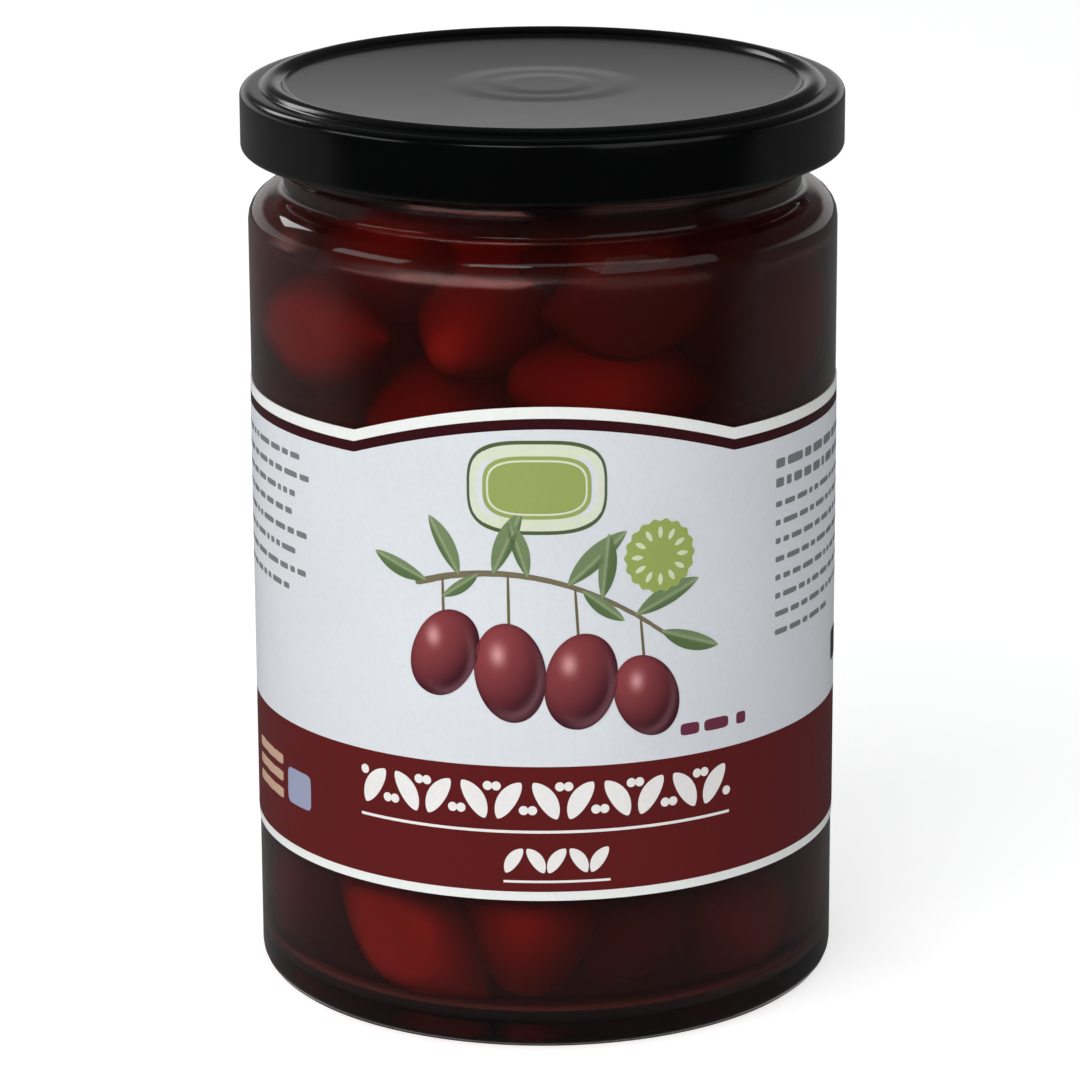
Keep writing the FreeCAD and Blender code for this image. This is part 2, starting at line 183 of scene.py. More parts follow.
def object_noise(nodes, links, scale, detail=3.0):
    """Noise in the piece's own metres, so that a grain keeps its real size."""
    place = nodes.new("ShaderNodeTexCoord")
    noise = nodes.new("ShaderNodeTexNoise")
    noise.inputs["Scale"].default_value = scale
    noise.inputs["Detail"].default_value = detail
    links.new(place.outputs["Object"], noise.inputs["Vector"])
    return noise


def bumped(nodes, links, shader, relief, strength, depth):
    """The shader's surface is tilted as if the relief's pattern stood up by the depth."""
    bump = nodes.new("ShaderNodeBump")
    bump.inputs["Strength"].default_value = strength
    bump.inputs["Distance"].default_value = depth
    links.new(relief.outputs["Fac"], bump.inputs["Height"])
    links.new(bump.outputs["Normal"], shader.inputs["Normal"])


def chosen(nodes, links, share, first, second):
    """The first shader where the share is nought, and the second where it is one."""
    mixed = nodes.new("ShaderNodeMixShader")
    for source, socket in zip((share, first, second), mixed.inputs):
        links.new(source, socket)
    return mixed.outputs[0]


def let_lamps_through(nodes, links, shader, output):
    """Shadow rays pass, so that the lamps light what stands behind the clear piece."""
    path = nodes.new("ShaderNodeLightPath")
    clear = nodes.new("ShaderNodeBsdfTransparent")
    mixed = chosen(nodes, links, path.outputs["Is Shadow Ray"], shader.outputs[0], clear.outputs[0])
    links.new(mixed, output.inputs["Surface"])


def flint(name, gloss):
    """Clear flint glass with a faint green cast and a slow ripple in its skin. Its gloss is
    full in air, and nearly nothing where brine wets it, because the two bend light alike."""
    material, nodes, links, output = new_material(name)
    shader = nodes.new("ShaderNodeBsdfPrincipled")
    shader.inputs["Base Color"].default_value = (0.93, 0.965, 0.945, 1)
    shader.inputs["Transmission Weight"].default_value = 1.0
    shader.inputs["Roughness"].default_value = 0.0
    shader.inputs["IOR"].default_value = 1.5
    shader.inputs["Specular IOR Level"].default_value = gloss
    bumped(nodes, links, shader, object_noise(nodes, links, 45.0, 1.0), 0.12, 0.3 * mm)
    let_lamps_through(nodes, links, shader, output)
    return material


jar.data.materials.append(flint("flint_glass", 0.4))
jar.data.materials.append(flint("flint_glass_wetted", 0.0))
# the inside of the body and throat up to the brine's level is wetted
wall_slack, throat_slack = 0.3 * mm, 0.9 * mm
face_middle = np.empty(len(jar.data.polygons) * 3)
jar.data.polygons.foreach_get("center", face_middle)
face_middle = face_middle.reshape(-1, 3)
face_radius = np.hypot(face_middle[:, 0], face_middle[:, 1])
face_height = face_middle[:, 2]
in_body = (face_radius < inner_radius + wall_slack) & (face_height < shoulder_top)
in_throat = face_radius < throat_radius + throat_slack
under_level = (face_height > floor_height - wall_slack) & (face_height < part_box("brine")[1][2])
wetted = (in_body | in_throat) & under_level
jar.data.polygons.foreach_set("material_index", wetted.astype(np.int32))
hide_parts("jar")
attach(jar, "root")

# ---- The brine ----------------------------------------------------------------------
# Wine-dark brine, filled hot to just under the lid. It wets the whole inside of the
# glass, so its skin lies a hair inside the wall and no air shows between them.
brine_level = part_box("brine")[1][2]
wetting = 0.12 * mm
meniscus = 0.5 * mm

brine_corners = np.array([
    (0, 4.0), (33.85, 4.0), (33.85, 97.5), (30.65, 97.5), (29.9, 98.3)]) * mm
brine_corners[:, 0] += wetting * (brine_corners[:, 0] > 0)
brine_corners[:, 1] += wetting * np.array([-1, -1, 1, 1, 1])
throat = throat_radius + wetting
brine_top = [(throat, brine_level + meniscus), (throat - 1.2 * mm, brine_level), (0, brine_level)]
brine_line = rounded(np.concatenate([brine_corners, brine_top]),
                     np.array([3.5, 3.2, 0.2, 0.6, 0.1, 0.3]) * mm)
brine = turned("brine", finely_spaced(brine_line, 4 * mm), 192)

dark_brine, nodes, links, output = new_material("dark_brine")
shader = nodes.new("ShaderNodeBsdfPrincipled")
shader.inputs["Base Color"].default_value = (0.62, 0.07, 0.05, 1)
shader.inputs["Transmission Weight"].default_value = 0.981
shader.inputs["Roughness"].default_value = 0.18
shader.inputs["IOR"].default_value = 1.35
shader.inputs["Specular IOR Level"].default_value = 0.0
bumped(nodes, links, shader, object_noise(nodes, links, 30.0, 2.0), 0.08, 0.2 * mm)
let_lamps_through(nodes, links, shader, output)
depth = nodes.new("ShaderNodeVolumeAbsorption")
depth.inputs["Color"].default_value = (0.60, 0.16, 0.12, 1)
depth.inputs["Density"].default_value = 320.0
links.new(depth.outputs[0], output.inputs["Volume"])
brine.data.materials.append(dark_brine)
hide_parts("brine")
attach(brine, "root")

# ---- The olives ---------------------------------------------------------------------
# Whole Kalamata-type olives with their stones in, packed by hand and shaken down. Each is
# a long almond shape with a pointed tip and a dimple at the stalk end, no two the same.
rng = np.random.default_rng(23)
olive_count = 78
olive_length = 22.5 * mm
olive_width = 14.6 * mm
heap_radius = 33.5 * mm
heap_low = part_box("olives")[0][2] + 0.2 * mm
heap_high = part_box("olives")[1][2]
shoulder_inside = 97.2 * mm
throat_inside = throat_radius - 0.3 * mm
core_radius = 13.0 * mm

# olives near the glass, as: turn from the front, height in mm, tilt of the long axis from
# level, how far that axis leans in from the wall, how deep the olive lies in mm, its tone,
# which is partly the olive's own colour and partly painted shade: a low tone stands for an
# olive lying deeper in the dark brine
placed = np.array([
    (-61, 87.5, 10, 0, -0.4, 0.60), (-13, 91.0, 60, 48, -2.0, 1.00), (14, 84.0, -7, 5, -0.3, 0.80),
    (43, 91.0, 62, 25, 1.5, 0.00), (68, 85.5, 78, 5, 0.0, 0.40), (-26, 78.5, 22, 20, 0.5, 0.95),
    (-92, 86.0, 50, 10, 0.0, 0.50), (16, 97.5, 5, 20, 3.5, 0.00), (-36, 97.5, 12, 10, 2.5, 0.40),
    (-33, 12.4, -40, 0, -0.5, 0.95), (0, 12.8, 82, 10, 0.2, 1.00), (25, 14.0, 38, 8, 1.5, 0.20),
    (49, 12.0, -34, 10, 0.4, 0.45), (-70, 14.0, 62, 10, 0.2, 0.60), (76, 13.0, 60, 8, 0.0, 0.50)], float)


def spots(centre, axis, length, width):
    """Three balls along each olive's axis stand for its shape while it settles: a full one
    in the middle and one at each side, a quarter of the length out."""
    along = np.array([-0.25, 0, 0.25])[None, :, None]
    middle = centre[:, None] + along * length[:, None, None] * axis[:, None]
    return middle, width[:, None] * np.array([0.41, 0.5, 0.41])[None]


def settled(centre, axis, length, width, held, rounds=260):
    """Overlapping balls push each other apart by half the overlap, the wall, floor and top
    push inwards, and each olive moves by the mean push and turns by its moment. The top is
    the brine's level under the throat, and the shoulder outside it."""
    mine = np.repeat(np.arange(len(centre)), 3)
    others = mine[:, None] != mine[None]
    for _ in range(rounds):
        ball, radius = spots(centre, axis, length, width)
        flat, reach = ball.reshape(-1, 3), radius.reshape(-1)
        gap = flat[:, None] - flat[None]
        far = np.linalg.norm(gap, axis=-1) + 1e-9
        lap = np.clip(reach[:, None] + reach[None] - far, 0, None) * others
        push = 0.5 * (gap / far[..., None] * lap[..., None]).sum(1)
        out = np.linalg.norm(flat[:, :2], axis=1)
        over = np.clip(out + reach - heap_radius, 0, None)
        push[:, :2] -= flat[:, :2] / out[:, None] * over[:, None]
        push[:, 2] += np.clip(heap_low + reach - flat[:, 2], 0, None)
        top = np.where(out + reach > throat_inside, shoulder_inside, heap_high)
        push[:, 2] -= np.clip(flat[:, 2] + reach - top, 0, None)
        push = push.reshape(-1, 3, 3) * (1 - held)[:, None, None]
        centre = centre + 0.5 * push.mean(1)
        arm = ball - centre[:, None]
        moment = np.cross(arm, push).sum(1) / (length[:, None] ** 2) * 1.5
        axis = unit(axis + np.cross(moment, axis))
    return centre, axis


length = olive_length * (1 + 0.07 * rng.standard_normal(olive_count)).clip(0.86, 1.14)
length[[0, 2, 9]] = olive_length * np.array([1.10, 1.08, 1.14])
width = olive_width * (1 + 0.05 * rng.standard_normal(olive_count)).clip(0.9, 1.1)
turn = np.radians(placed[:, 0])
tilt = np.radians(placed[:, 2])
lean = np.radians(placed[:, 3])
outward = np.stack([np.sin(turn), -np.cos(turn), 0 * turn], 1)
sideways = np.stack([np.cos(turn), np.sin(turn), 0 * turn], 1)
upward = np.array([[0, 0, 1.0]])
first = len(placed)
own_radius = heap_radius - width[:first] / 2 - length[:first] * 0.24 * np.sin(lean)
own_radius = own_radius - placed[:, 4] * mm
placed_centre = own_radius[:, None] * outward + placed[:, 1:2] * mm * upward
placed_axis = (np.cos(tilt) * np.cos(lean))[:, None] * sideways \
    + (np.sin(tilt) * np.cos(lean))[:, None] * upward - np.sin(lean)[:, None] * outward
rest = olive_count - first
spin = rng.uniform(0, 2 * math.pi, rest)
away = (heap_radius - 8 * mm) * np.sqrt(rng.uniform(0.06, 1.0, rest))
rest_centre = np.stack([away * np.sin(spin), -away * np.cos(spin),
                        rng.uniform(heap_low + 8 * mm, heap_high - 8 * mm, rest)], 1)
rest_axis = unit(rng.standard_normal((rest, 3)))
held = np.concatenate([np.full(first, 0.99), np.zeros(rest)])
centre, axis = settled(np.concatenate([placed_centre, rest_centre]),
                       np.concatenate([placed_axis, rest_axis]), length, width, held)


def olive_skins(centre, axis, length, width):
    """Along an olive, its half-width is the width times a sine of the way along, raised to
    a power near three quarters, fuller towards the stalk end. The tip is drawn out to a
    point, the stalk end is sunk, the axis is bowed, and slow waves dent the skin."""
    count, rings, around = len(centre), 26, 28
    way = np.linspace(0, 1, rings)[None, :, None]
    spin = (np.arange(around) * 2 * math.pi / around)[None, None]
    fat = rng.uniform(0.66, 0.80, (count, 1, 1))
    egg = rng.uniform(-0.16, -0.02, (count, 1, 1))
    bow = rng.uniform(-0.05, 0.05, (count, 1, 1))
    phase = rng.uniform(0, 2 * math.pi, (count, 1, 1))
    dent = rng.uniform(0.008, 0.025, (count, 1, 1))
    ease = 0.5 - 0.5 * np.cos(math.pi * way)
    half = 0.5 * np.sin(math.pi * ease).clip(0) ** fat * (1 + egg * np.cos(math.pi * ease))
    waves = np.sin(2 * spin + phase + 5 * ease) + 0.6 * np.sin(3 * spin - phase - 7 * ease)
    radius = half * (1 + dent * waves) * width[:, None, None]
    tip = 0.035 * np.exp(-((1 - ease) / 0.03) ** 2)
    sunk = 0.04 * np.exp(-(ease / 0.035) ** 2)
    along = (ease - 0.5 + tip + sunk) * length[:, None, None] + 0 * spin
    side = unit(np.cross(axis, np.where(np.abs(axis[:, 2:]) < 0.9, [[0, 0, 1.0]], [[1.0, 0, 0]])))
    third = np.cross(axis, side)
    bent = bow * np.sin(math.pi * ease) * width[:, None, None] + 0 * spin
    return (centre[:, None, None] + along[..., None] * axis[:, None, None]
            + (radius * np.cos(spin) + bent)[..., None] * side[:, None, None]
            + (radius * np.sin(spin))[..., None] * third[:, None, None])


skins = olive_skins(centre, axis, length, width)
# no skin passes the wall, floor, shoulder or level: a point beyond is brought back to it,
# as a pressed olive is
reach = np.linalg.norm(skins[..., :2], axis=-1, keepdims=True)
skins[..., :2] *= np.minimum(1, (heap_radius - 0.05 * mm) / np.maximum(reach, 1e-6))
top = np.where(reach[..., 0] > throat_inside, shoulder_inside, heap_high + 0.2 * mm)
skins[..., 2] = np.minimum(skins[..., 2].clip(heap_low - 0.3 * mm), top)
olives = skinned("olives", skins)
# painted shade: the unplaced olives are darker, standing for their lying deeper in the heap,
# and those just behind the front of the glass, in shade between the placed ones, the darkest
tone = rng.uniform(0, 0.35, olive_count) * np.where(centre[:, 1] < -14 * mm, 0.15, 1)
tone[:first] = placed[:, 5]
tone_layer = olives.data.attributes.new("tone", "FLOAT", "POINT")
tone_layer.data.foreach_set("value", np.repeat(tone, (skins.shape[1] - 2) * skins.shape[2] + 2))


def multiplied(nodes, links, first, second, share):
    """One colour times another, as far as the share."""
    mix = nodes.new("ShaderNodeMix")
    mix.data_type = "RGBA"
    mix.blend_type = "MULTIPLY"
    mix.inputs["Factor"].default_value = share
    links.new(first, mix.inputs[6])
    links.new(second, mix.inputs[7])
    return mix.outputs[2]


olive_skin, nodes, links, output = new_material("olive_skin")
shader = nodes.new("ShaderNodeBsdfPrincipled")
shader.inputs["IOR"].default_value = 1.45
shader.inputs["Specular IOR Level"].default_value = 0.1
shader.inputs["Roughness"].default_value = 0.42
tone_node = nodes.new("ShaderNodeAttribute")
tone_node.attribute_name = "tone"
# the tone ramp is partly the olives' own colour and partly painted shade at its dark end
ripeness_and_shade = nodes.new("ShaderNodeValToRGB")
ripeness_and_shade.color_ramp.elements[0].color = (0.07, 0.018, 0.014, 1)
ripeness_and_shade.color_ramp.elements[1].color = (0.37, 0.030, 0.021, 1)
links.new(tone_node.outputs["Fac"], ripeness_and_shade.inputs["Fac"])
mottle = object_noise(nodes, links, 260.0, 4.0)
blotched = multiplied(nodes, links, ripeness_and_shade.outputs["Color"], mottle.outputs["Fac"], 0.45)
links.new(blotched, shader.inputs["Base Color"])
bumped(nodes, links, shader, object_noise(nodes, links, 900.0, 2.0), 0.2, 0.1 * mm)
links.new(shader.outputs[0], output.inputs["Surface"])
olives.data.materials.append(olive_skin)
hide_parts("olives")
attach(olives, "root")

# the middle of the heap, which no light reaches: one dark lump under the outer olives
core_bulge = 1.4 * mm
core_low, core_high = 9 * mm, heap_high - 6 * mm
core_corners = np.array([(0, core_low), (core_radius, core_low), (core_radius, core_high), (0, core_high)])
core_line = rounded(core_corners, np.array([6, 6]) * mm)


def core_swell(turn, radius, height):
    """The lump bulges where olives press on it: waves round it and up it, multiplied."""
    waves = np.sin(4 * turn + 90 * height) * np.sin(300 * height + 2 * turn)
    return (radius > 1e-6) * core_bulge * waves


core = turned("heap_core", finely_spaced(core_line, 3 * mm), 64, core_swell)
core.data.materials.append(olive_skin)
core_tone = core.data.attributes.new("tone", "FLOAT", "POINT")
core_tone.data.foreach_set("value", np.zeros(len(core.data.vertices)))
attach(core, "root")

# ---- The label ----------------------------------------------------------------------
# One strip of coated paper, glued round the body with a gap at the back. Its top edge
# rises in a low arch at the front. The inks lie on it as films of colour.
label_low, label_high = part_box("label")
paper_radius = label_high[0]
glue_radius = body_radius - 0.05 * mm
label_bottom = label_low[2]
arch_top = label_high[2]
arch_rise = 4.7 * mm
arch_half_width = 22.6 * mm
label_end = math.pi - math.radians(13)
film = 0.016 * mm
column_turn = 0.016
per_degree = paper_radius * math.pi / 180
arch_radius = (arch_half_width ** 2 + arch_rise ** 2) / (2 * arch_rise)
cusp = math.asin(arch_half_width / body_radius)


def top_edge(turn):
    """The height of the top edge: level at the sides, and between the two cusps a circle's
    arc seen from the front, so its rise follows the sine of the turn."""
    across = np.where(np.abs(turn) < cusp, paper_radius * np.sin(turn), arch_half_width)
    across = np.clip(across, -arch_half_width, arch_half_width)
    return arch_top - arch_radius + np.sqrt(arch_radius ** 2 - across ** 2)


def strip(name, start, end, low, high, inner, outer, rows=2):
    """A closed film on the label's cylinder. Its columns stand at turns from start to end,
    its rows between two heights that may follow the turn, and its section runs up the
    outside, over, and down the inside, so that all four edges are shut."""
    turns = np.union1d(np.linspace(start, end, max(3, int((end - start) / column_turn))),
                       [a for a in (-cusp, cusp) if start < a < end])
    share = np.linspace(0, 1, rows)[:, None]
    heights = low(turns)[None] * (1 - share) + high(turns)[None] * share
    heights = np.concatenate([heights, heights[::-1]])
    radius = np.concatenate([np.full(rows, outer), np.full(rows, inner)])[:, None] + 0 * heights
    points = np.stack([radius * np.sin(turns), -radius * np.cos(turns), heights], -1)
    around, columns = 2 * rows, len(turns)
    index = np.arange(around * columns).reshape(around, columns)
    over = np.roll(index, -1, axis=0)
    faces = np.stack([index[:, :-1], index[:, 1:], over[:, 1:], over[:, :-1]], -1).reshape(-1, 4).tolist()
    faces += [index[:, 0].tolist(), index[::-1, -1].tolist()]
    return smooth_piece(name, points, faces, 30)


def printed(name, colour, attribute=None):
    """Ink on coated paper: the colour is broken by a fine paper grain and a slow change in
    the film's weight, and the grain raises the surface a little. An attribute, where one is
    named, multiplies the colour."""
    material, nodes, links, output = new_material(name)
    shader = nodes.new("ShaderNodeBsdfPrincipled")
    shader.inputs["Roughness"].default_value = 0.42
    shader.inputs["Specular IOR Level"].default_value = 0.2
    grain = object_noise(nodes, links, 1600.0, 2.0)
    weight = object_noise(nodes, links, 40.0, 2.0)
    ramp = nodes.new("ShaderNodeValToRGB")
    ramp.color_ramp.elements[0].position = 0.3
    ramp.color_ramp.elements[1].position = 0.7
    low = [c * 0.94 for c in colour]
    high = [min(1.0, c * 1.04) for c in colour]
    ramp.color_ramp.elements[0].color = (*low, 1)
    ramp.color_ramp.elements[1].color = (*high, 1)
    weight_share = nodes.new("ShaderNodeMath")
    weight_share.operation = "MULTIPLY"
    weight_share.inputs[1].default_value = 0.6
    links.new(weight.outputs["Fac"], weight_share.inputs[0])
    both = nodes.new("ShaderNodeMath")
    both.operation = "MULTIPLY_ADD"
    both.inputs[1].default_value = 0.4
    links.new(grain.outputs["Fac"], both.inputs[0])
    links.new(weight_share.outputs[0], both.inputs[2])
    links.new(both.outputs[0], ramp.inputs["Fac"])
    ink = ramp.outputs["Color"]
    if attribute:
        shade = nodes.new("ShaderNodeAttribute")
        shade.attribute_name = attribute
        ink = multiplied(nodes, links, shade.outputs["Color"], ink, 1.0)
    links.new(ink, shader.inputs["Base Color"])
    bumped(nodes, links, shader, grain, 0.08, 0.03 * mm)
    links.new(shader.outputs[0], output.inputs["Surface"])
    return material


def on_label(piece, material):
    """A printed film takes its ink and joins the jar's body."""
    piece.data.materials.append(material)
    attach(piece, "root")


def level(height):
    """A line at one height all round."""
    return lambda turn: height + 0 * turn


def below_top(drop):
    """A line that follows the top edge, lower by the drop."""
    return lambda turn: top_edge(turn) - drop


white_edge = 1.4 * mm
stripe_width = 1.3 * mm
band_bottom = 20.75 * mm
band_top = 36.6 * mm

paper = strip("label_paper", -label_end, label_end, level(label_bottom), top_edge,
              glue_radius, paper_radius, rows=3)
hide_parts("label")
on_label(paper, printed("coated_paper", (0.86, 0.88, 0.85)))
stripe = strip("label_stripe", -label_end, label_end, below_top(white_edge + stripe_width),
               below_top(white_edge), glue_radius, paper_radius + film)
on_label(stripe, printed("stripe_ink", (0.040, 0.004, 0.007)))
field = strip("label_field", -label_end, label_end, level(band_top),
              below_top(white_edge + stripe_width), glue_radius, paper_radius + film)
on_label(field, printed("field_ink", (0.73, 0.76, 0.79)))
band = strip("label_band", -label_end, label_end, level(band_bottom), level(band_top),
             glue_radius, paper_radius + film)
on_label(band, printed("band_ink", (0.122, 0.009, 0.010)))


def shapes(name, across, up, long, wide, turn=0, point=1.0, square=1.0, bow=0, lobes=0,
           scallop=0, layer=2, rings=3, around=48):
    """Closed printed shapes on the label's cylinder, each given by its place across the
    front and its height. The outline is a cosine along it and a sine across it, raised to
    powers: point over one draws its ends out like a leaf's, square under one fills its
    corners. It may be bowed, scalloped and turned."""
    given = np.broadcast_arrays(*[np.atleast_1d(np.asarray(v, float)) for v in
                                  (across, up, long, wide, turn, point, square, bow, lobes, scallop)])
    across, up, long, wide, turn, point, square, bow, lobes, scallop = [v[:, None, None] for v in given]
    spin = (np.arange(around) * 2 * math.pi / around)[None, None]
    share = np.concatenate([np.linspace(0, 1, rings), np.linspace(1, 0, rings)])[None, :, None]
    wave = 1 + scallop * np.cos(lobes * spin)
    x = long / 2 * share * wave * np.sign(np.cos(spin)) * np.abs(np.cos(spin)) ** square
    y = wide / 2 * share * wave * np.sign(np.sin(spin)) * np.abs(np.sin(spin)) ** (point * square)
    y = y + bow * (1 - (2 * x / long) ** 2) * wide
    turn = np.radians(turn)
    side = across + x * np.cos(turn) - y * np.sin(turn)
    height = up + x * np.sin(turn) + y * np.cos(turn)
    radius = np.concatenate([np.full(rings, paper_radius + film * layer),
                             np.full(rings, paper_radius - film)])[None, :, None] + 0 * side
    angle = side / paper_radius
    points = np.stack([radius * np.sin(angle), -radius * np.cos(angle), height], -1)
    return skinned(name, points[:, ::-1], 30)


# ---- The plaque and the rosette -----------------------------------------------------
# Printed marks on the label: a green plaque under the arch with a dark line and a cream
# line inside its edge, and a plain scalloped rosette to its right. Both are left blank.
green = (0.33, 0.40, 0.115)
cream = (0.72, 0.77, 0.60)
deep_green = (0.085, 0.125, 0.045)
plaque_across = -1.4 * per_degree
plaque_up = 71.2 * mm
plaque_long, plaque_wide = 16.7 * mm, 11.5 * mm
for step, (inset, ink, label) in enumerate([
        (0.0, deep_green, "plaque_line"), (0.45, cream, "plaque_cream"),
        (1.9, green, "plaque_green"), (2.35, cream, "plaque_thread"), (2.6, green, "plaque_face")]):
    part = shapes(label, plaque_across, plaque_up, plaque_long - 2 * inset * mm,
                  plaque_wide - 2 * inset * mm, square=0.62, layer=2 + step, around=96)
    on_label(part, printed(label + "_ink", ink))

rosette_across = 22.1 * per_degree
rosette_up = 62.1 * mm
rosette = shapes("rosette", rosette_across, rosette_up, 8.8 * mm, 8.8 * mm, lobes=18, scallop=0.035,
                 layer=6, around=144)
on_label(rosette, printed("rosette_ink", (0.34, 0.42, 0.11)))
petal_turn = np.arange(12) * 30.0
petals = shapes("rosette_petals", rosette_across + 2.9 * mm * np.cos(np.radians(petal_turn)),
                rosette_up + 2.9 * mm * np.sin(np.radians(petal_turn)), 1.5 * mm, 0.62 * mm,
                turn=petal_turn, point=1.6, layer=7, around=24)
on_label(petals, printed("petal_ink", (0.70, 0.75, 0.52)))

# ---- The printed sprig --------------------------------------------------------------
# A plain picture of an olive branch across the pale field: a bowed twig, slender leaves in
# pairs and fruit hanging below it, printed with soft shading from the upper left.
twig_start = np.array([-15.0, 59.0])
twig_end = np.array([14.5, 52.5])
twig_bow = 4.2


def along_twig(share):
    """A point on the twig: the straight line between its ends, lifted by a parabola."""
    share = np.asarray(share, float)
    return (twig_start[0] + (twig_end[0] - twig_start[0]) * share,
            twig_start[1] + (twig_end[1] - twig_start[1]) * share + 4 * twig_bow * share * (1 - share))


def shaded(piece, colour):
    """Colours each point by a rule on its place across and up the label, in millimetres."""
    place = np.empty(len(piece.data.vertices) * 3)
    piece.data.vertices.foreach_get("co", place)
    place = place.reshape(-1, 3)
    across = np.arctan2(place[:, 0], -place[:, 1]) * paper_radius / mm
    rgb = np.clip(colour(across, place[:, 2] / mm), 0, 1)
    layer = piece.data.color_attributes.new("shade", "FLOAT_COLOR", "POINT")
    layer.data.foreach_set("color", np.concatenate([rgb, np.ones((len(rgb), 1))], 1).ravel())


twig_x, twig_y = along_twig(np.linspace(0.02, 0.98, 15))
twig_slope = np.degrees(np.arctan2(np.gradient(twig_y), np.gradient(twig_x)))
twig = shapes("sprig_twig", twig_x * mm, twig_y * mm, 3.0 * mm,
              np.linspace(0.85, 0.5, 15) * mm, turn=twig_slope, square=0.5, layer=3, around=24)
shaded(twig, lambda x, y: np.stack([0.20 + 0 * x, 0.17 + 0 * x, 0.10 + 0 * x], 1))
sprig_ink = printed("sprig_ink", (0.98, 0.98, 0.98), attribute="shade")
on_label(twig, sprig_ink)

leaf_share = np.array([0.02, 0.16, 0.30, 0.44, 0.60, 0.74, 0.88, 0.99, 0.24, 0.66])
leaf_turn = np.array([158, 118, 66, 108, 42, 84, 24, -20, 215, -38], float)
leaf_long = np.array([7.5, 8.0, 8.6, 7.2, 9.6, 8.0, 9.0, 8.4, 5.5, 6.5])
base_x, base_y = along_twig(leaf_share)
leaf_x = base_x + leaf_long / 2 * np.cos(np.radians(leaf_turn))
leaf_y = base_y + leaf_long / 2 * np.sin(np.radians(leaf_turn))
leaves = shapes("sprig_leaves", leaf_x * mm, leaf_y * mm, leaf_long * mm, leaf_long * 0.27 * mm,
                turn=leaf_turn, point=1.7, bow=np.tile([0.12, -0.12], 5), layer=4, rings=6, around=64)


def leaf_colours(x, y):
    """Green, lighter on the side that faces up and along the midrib, darker to the base."""
    index = np.repeat(np.arange(len(leaf_x)), len(x) // len(leaf_x))
    way = np.radians(leaf_turn[index])
    dx, dy = x - leaf_x[index], y - leaf_y[index]
    down = dx * np.cos(way) + dy * np.sin(way)
    out = (-dx * np.sin(way) + dy * np.cos(way)) / (leaf_long[index] * 0.135)
    lit = 0.5 + 0.5 * np.tanh(3 * out * np.sign(np.cos(way)))
    rib = np.exp(-(out / 0.16) ** 2)
    tip = 0.5 + down / leaf_long[index]
    dark, light = np.array([0.055, 0.115, 0.030]), np.array([0.20, 0.28, 0.135])
    colour = dark + (light - dark) * (0.25 + 0.55 * lit + 0.2 * tip)[:, None]
    return colour + 0.16 * rib[:, None] * np.array([1, 1, 0.7])


shaded(leaves, leaf_colours)
on_label(leaves, sprig_ink)

fruit_x = np.array([-12.2, -4.2, 4.3, 12.4])
fruit_y = np.array([50.4, 48.3, 47.2, 44.9])
fruit_long = np.array([11.2, 12.4, 12.0, 10.6])
fruit_wide = np.array([8.0, 8.6, 8.7, 7.9])
fruit_turn = np.array([66, 98, 80, 114], float)
stalk_x, stalk_y = along_twig([0.09, 0.36, 0.63, 0.90])
stalks = shapes("sprig_stalks", (stalk_x + fruit_x) / 2 * mm, (stalk_y + fruit_y) / 2 * mm,
                np.hypot(stalk_x - fruit_x, stalk_y - fruit_y) * mm, 0.34 * mm,
                turn=np.degrees(np.arctan2(stalk_y - fruit_y, stalk_x - fruit_x)), square=0.5,
                layer=3, around=24)
shaded(stalks, lambda x, y: np.stack([0.16 + 0 * x, 0.13 + 0 * x, 0.06 + 0 * x], 1))
on_label(stalks, sprig_ink)
fruit = shapes("sprig_fruit", fruit_x * mm, fruit_y * mm, fruit_long * mm, fruit_wide * mm,
               turn=fruit_turn, point=1.0, square=np.array([0.94, 1.0, 0.96, 1.0]), layer=5, rings=12,
               around=72)


def fruit_colours(x, y):
    """A ball's shading: brightness falls from the upper left with the cosine of the slope,
    a soft gloss spot sits there, and the lower right edge picks up a little light again."""
    index = np.repeat(np.arange(len(fruit_x)), len(x) // len(fruit_x))
    way = np.radians(fruit_turn[index])
    dx, dy = x - fruit_x[index], y - fruit_y[index]
    u = (dx * np.cos(way) + dy * np.sin(way)) / (fruit_long[index] / 2)
    v = (-dx * np.sin(way) + dy * np.cos(way)) / (fruit_wide[index] / 2)
    deep = np.sqrt(np.clip(1 - u * u - v * v, 0, 1))
    nx, ny = dx / (fruit_wide[index] / 2), dy / (fruit_long[index] / 2)
    lit = np.clip(0.62 * deep - 0.42 * nx + 0.5 * ny, 0, 1)
    gloss = np.exp(-((nx + 0.34) ** 2 + (ny - 0.36) ** 2) / 0.035)
    rim = np.exp(-((np.hypot(nx, ny) - 0.86) / 0.10) ** 2) * np.clip(nx - ny, 0, 1)
    dark, mid = np.array([0.055, 0.008, 0.016]), np.array([0.30, 0.055, 0.060])
    colour = dark + (mid - dark) * lit[:, None] + gloss[:, None] * np.array([0.42, 0.26, 0.27])
    return colour + rim[:, None] * np.array([0.10, 0.05, 0.055])


shaded(fruit, fruit_colours)
on_label(fruit, sprig_ink)

